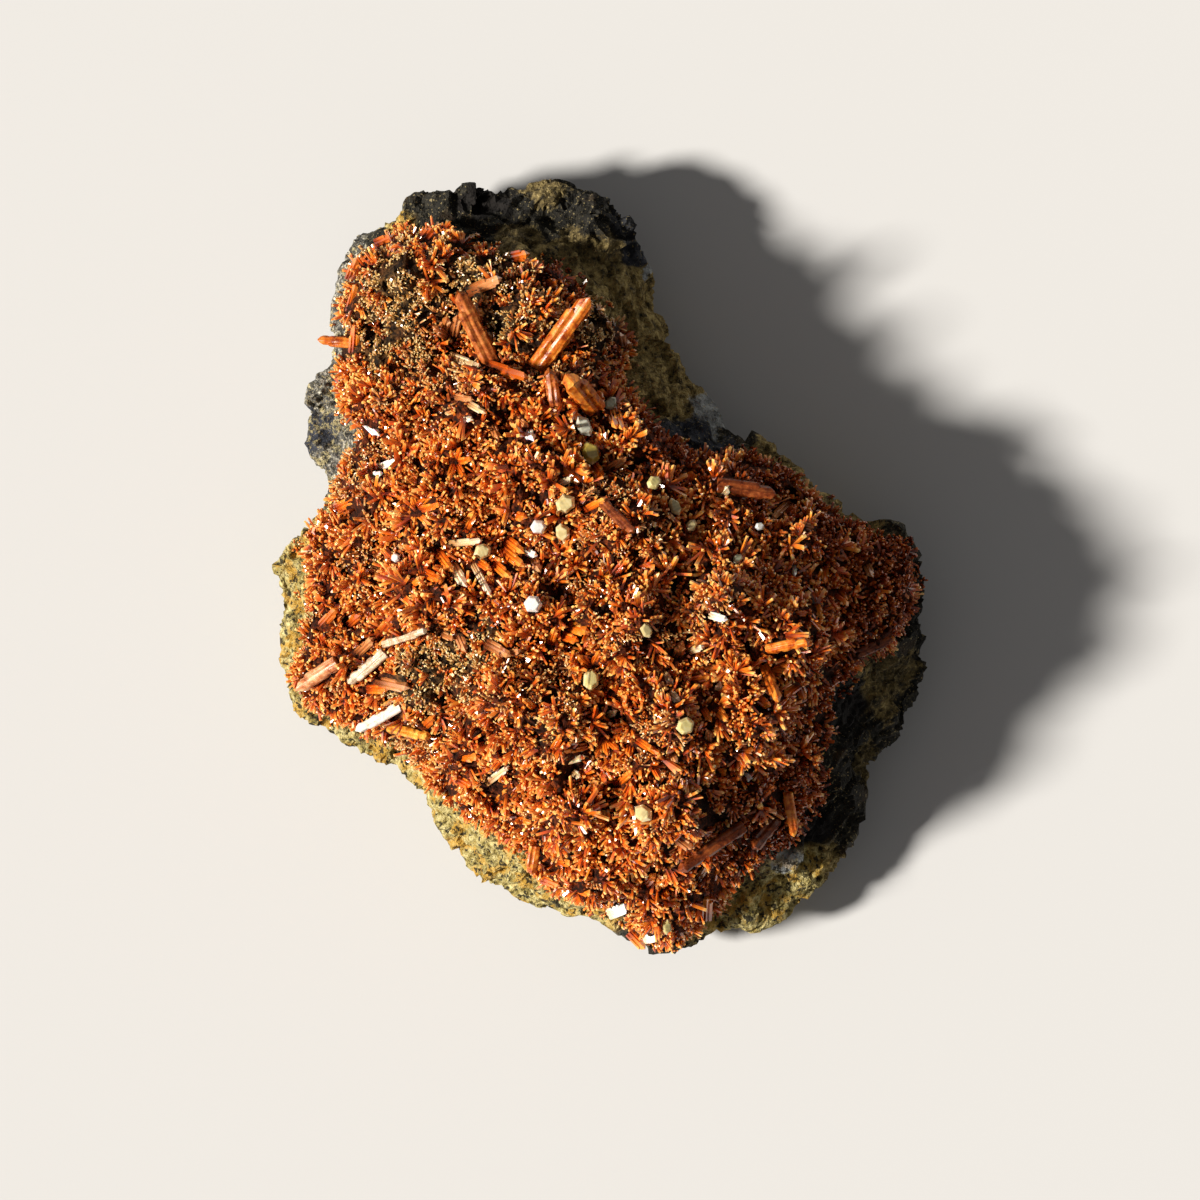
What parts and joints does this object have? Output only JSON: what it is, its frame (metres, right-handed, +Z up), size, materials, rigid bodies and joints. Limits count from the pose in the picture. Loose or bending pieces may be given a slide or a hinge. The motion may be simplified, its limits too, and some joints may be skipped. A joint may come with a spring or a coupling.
{
  "type": "crocoite",
  "caption": "Crocoite specimen: a dense crust of small orange-red prismatic crystals with larger prisms and pale cerussite tablets on dark and yellow gossan matrix.",
  "frame": {"origin": "middle of the footprint's bounding box, on the plane that the sawn back lies on", "axes": "+Z up, out of the crystal-covered face; +Y towards the bare layered block at the top of the specimen; +X to the viewer's right when the crystals face the viewer"},
  "size_m": [0.0752, 0.0891, 0.0363],
  "materials": {
    "gossan": "rough, broken, partly granular and ochre-stained",
    "crocoite": "glassy to greasy crystal faces, translucent at the edges",
    "crocoite_large": "glassy, striated along each prism, translucent at the edges",
    "cerussite": "adamantine, translucent"
  },
  "bodies": {
    "root": {"matrix": "gossan", "crocoite_druse": "crocoite", "crocoite_prism_tall_left": "crocoite_large", "crocoite_prism_tall_right": "crocoite_large", "crocoite_prism_left_rim": "crocoite_large", "crocoite_prism_stub": "crocoite_large", "crocoite_prism_pink": "crocoite_large", "crocoite_prism_low_left": "crocoite_large", "crocoite_prism_bright": "crocoite_large", "crocoite_prism_amber": "crocoite_large", "crocoite_prism_long_blade": "crocoite_large", "crocoite_prism_thin_blade": "crocoite_large", "crocoite_prism_shaded_block": "crocoite_large", "crocoite_prism_dark_red": "crocoite_large", "crocoite_prism_brown_long": "crocoite_large", "crocoite_prism_hanging": "crocoite_large", "crocoite_prism_chunky": "crocoite_large", "crocoite_prism_right_blade": "crocoite_large", "crocoite_prism_red_stub": "crocoite_large", "crocoite_prism_fan_upper": "crocoite_large", "crocoite_prism_fan_lower": "crocoite_large", "cerussite_upper_grey": "cerussite", "cerussite_upper_white": "cerussite", "cerussite_upper_yellow": "cerussite", "cerussite_cluster_top": "cerussite", "cerussite_cluster_white": "cerussite", "cerussite_cluster_low": "cerussite", "cerussite_left_round": "cerussite", "cerussite_mid_white": "cerussite", "cerussite_ribbed": "cerussite", "cerussite_right_high": "cerussite", "cerussite_right_pair": "cerussite", "cerussite_right_small": "cerussite", "cerussite_mid_right": "cerussite", "cerussite_pyramid": "cerussite", "cerussite_low_right": "cerussite", "cerussite_toe": "cerussite", "cerussite_left_small": "cerussite", "cerussite_right_green": "cerussite", "cerussite_right_far": "cerussite"}
  },
  "joints": []
}
